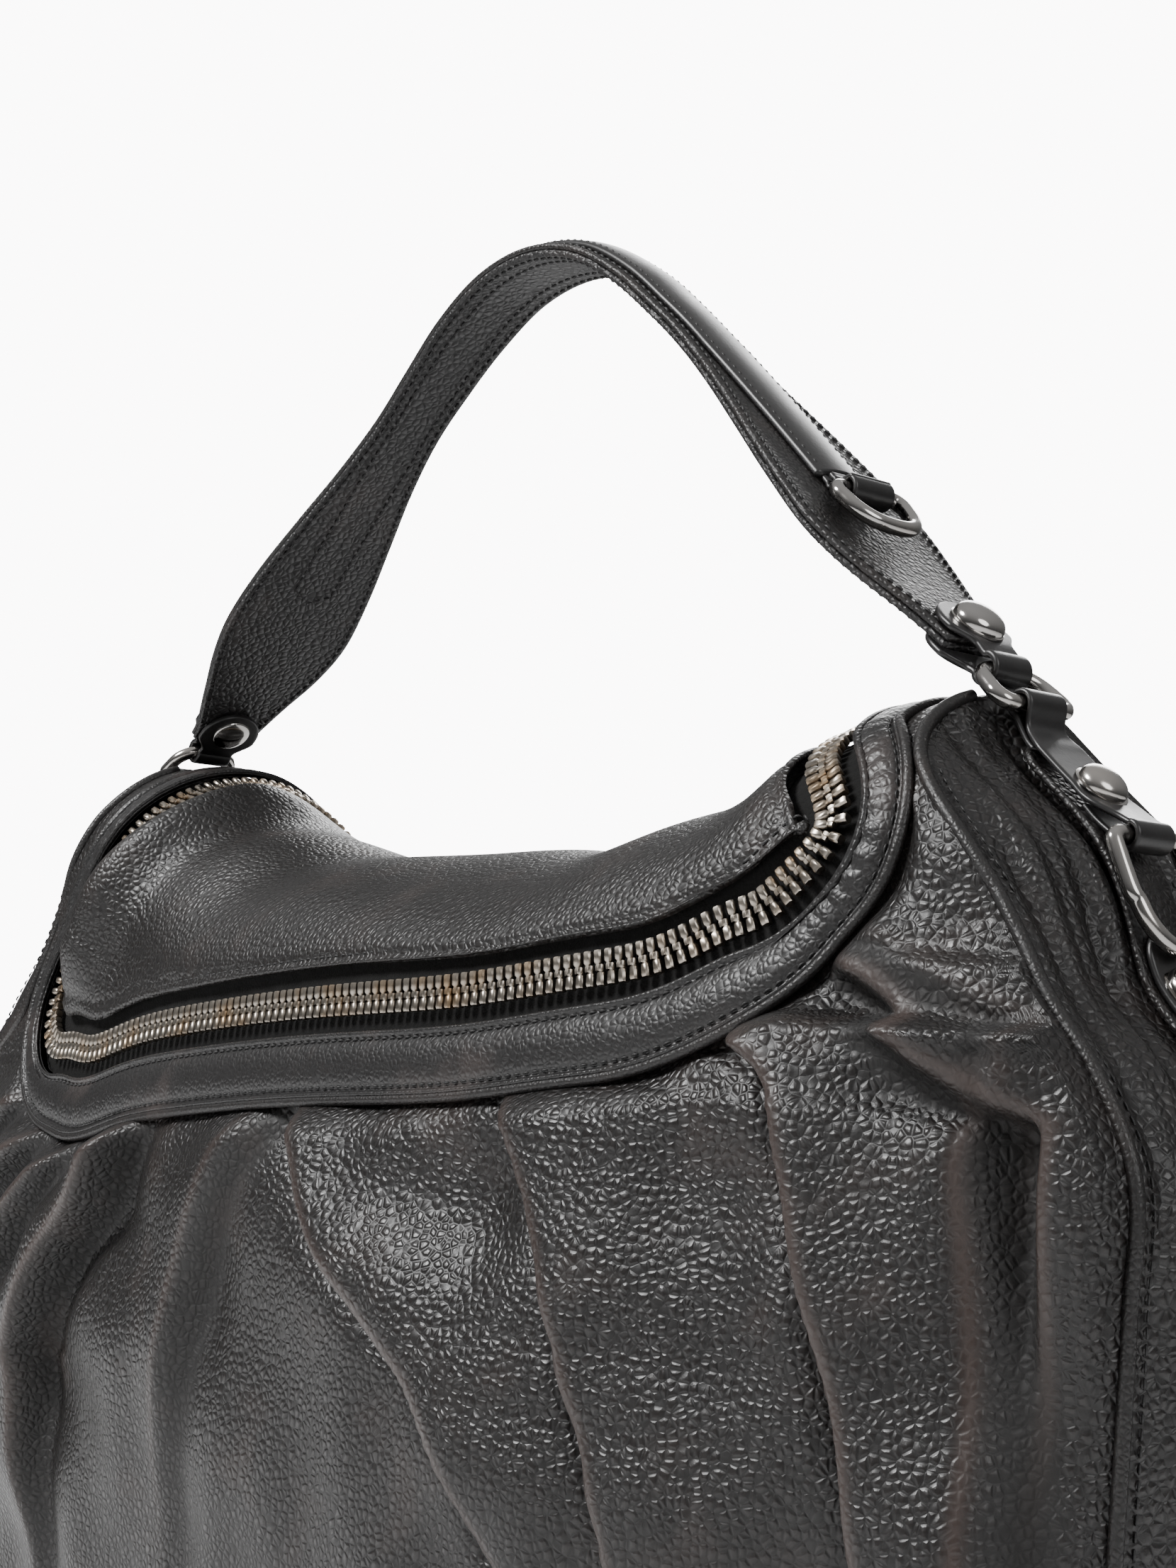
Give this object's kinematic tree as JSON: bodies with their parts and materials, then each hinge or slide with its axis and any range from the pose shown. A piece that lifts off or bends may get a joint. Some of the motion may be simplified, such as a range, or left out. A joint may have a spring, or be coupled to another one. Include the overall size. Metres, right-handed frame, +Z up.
{
  "type": "hobo bag",
  "caption": "Slouched leather hobo shoulder bag with a curved zip top, pleated front, gusseted ends, shaped handle on metal rings and stud-fixed side tabs.",
  "frame": {"origin": "middle of the base, on the surface the bag stands on", "axes": "+Z up, +X along the bag to its right end seen from the front, front face towards -Y"},
  "size_m": [0.5404, 0.1563, 0.4628],
  "materials": {
    "grained_leather": "pebbled, semi-matte",
    "smooth_leather": "smooth, soft sheen, painted edges",
    "gunmetal": "polished dark gunmetal plate",
    "zip_metal": "aged nickel",
    "zip_tape": "matte woven",
    "lining": "matte woven",
    "board": "matte"
  },
  "bodies": {
    "bag": {"back_panel": "grained_leather", "band_piping": "grained_leather", "base_board": "board", "base_panel": "grained_leather", "front_panel": "grained_leather", "gusset_left": "grained_leather", "gusset_right": "grained_leather", "inner_pocket": "lining", "lining_bag": "lining", "piping_back_left": "grained_leather", "piping_back_right": "grained_leather", "piping_front_left": "grained_leather", "piping_front_right": "grained_leather", "ring_top_left": "gunmetal", "ring_top_right": "gunmetal", "side_strap_left": "grained_leather", "side_strap_right": "grained_leather", "side_tab_lower_left": "smooth_leather", "side_tab_lower_right": "smooth_leather", "side_tab_upper_left": "smooth_leather", "side_tab_upper_right": "smooth_leather", "stud_lower_left": "gunmetal", "stud_lower_right": "gunmetal", "stud_upper_left": "gunmetal", "stud_upper_right": "gunmetal", "zip_band": "grained_leather", "zip_tape_lower": "zip_tape", "zip_teeth_lower": "zip_metal"},
    "handle": {"dring_loop_left": "smooth_leather", "dring_loop_right": "smooth_leather", "handle_lining": "grained_leather", "handle_outer": "grained_leather", "handle_overlay": "smooth_leather", "handle_tab_left": "smooth_leather", "handle_tab_right": "smooth_leather", "rivet_cap_left": "gunmetal", "rivet_cap_right": "gunmetal", "stud_handle_left": "gunmetal", "stud_handle_right": "gunmetal"},
    "lid": {"lid_panel": "grained_leather", "zip_tape_upper": "zip_tape", "zip_teeth_upper": "zip_metal"},
    "side_ring_left": {"ring_side_left": "gunmetal"},
    "side_ring_right": {"ring_side_right": "gunmetal"},
    "handle_ring_left": {"handle_dring_left": "gunmetal"},
    "handle_ring_right": {"handle_dring_right": "gunmetal"},
    "slider": {"zip_slider": "gunmetal"},
    "puller": {"zip_puller": "gunmetal"}
  },
  "joints": [
    {"name": "handle_swing", "type": "hinge", "parent": "bag", "child": "handle", "pos_m": [0, 0, 0.32], "axis": [-1, 0, 0], "range_deg": [-45, 45], "deforming": ["handle_tab_left", "handle_tab_right"]},
    {"name": "lid_lift", "type": "hinge", "parent": "bag", "child": "lid", "pos_m": [0, 0.053, 0.262], "axis": [-1, 0, 0], "range_deg": [0, 25], "deforming": ["zip_tape_upper", "zip_teeth_upper"]},
    {"name": "side_ring_swing_left", "type": "hinge", "parent": "bag", "child": "side_ring_left", "pos_m": [-0.22634, 0, 0.27893], "axis": [0, 1, 0], "range_deg": [0, 100]},
    {"name": "side_ring_swing_right", "type": "hinge", "parent": "bag", "child": "side_ring_right", "pos_m": [0.22634, 0, 0.27893], "axis": [0, -1, 0], "range_deg": [0, 100]},
    {"name": "handle_ring_flip_left", "type": "hinge", "parent": "handle", "child": "handle_ring_left", "pos_m": [-0.13438, 0, 0.36998], "axis": [0, 1, 0], "range_deg": [0, 150]},
    {"name": "handle_ring_flip_right", "type": "hinge", "parent": "handle", "child": "handle_ring_right", "pos_m": [0.13438, 0, 0.36998], "axis": [0, -1, 0], "range_deg": [0, 150]},
    {"name": "slider_run", "type": "hinge", "parent": "bag", "child": "slider", "pos_m": [-0.147, 0, 0.255], "axis": [1, 0, 0], "range_deg": [0, 50]},
    {"name": "puller_flip", "type": "hinge", "parent": "slider", "child": "puller", "pos_m": [-0.147, 0.0544, 0.27268], "axis": [1, 0, 0], "range_deg": [0, 140]}
  ]
}
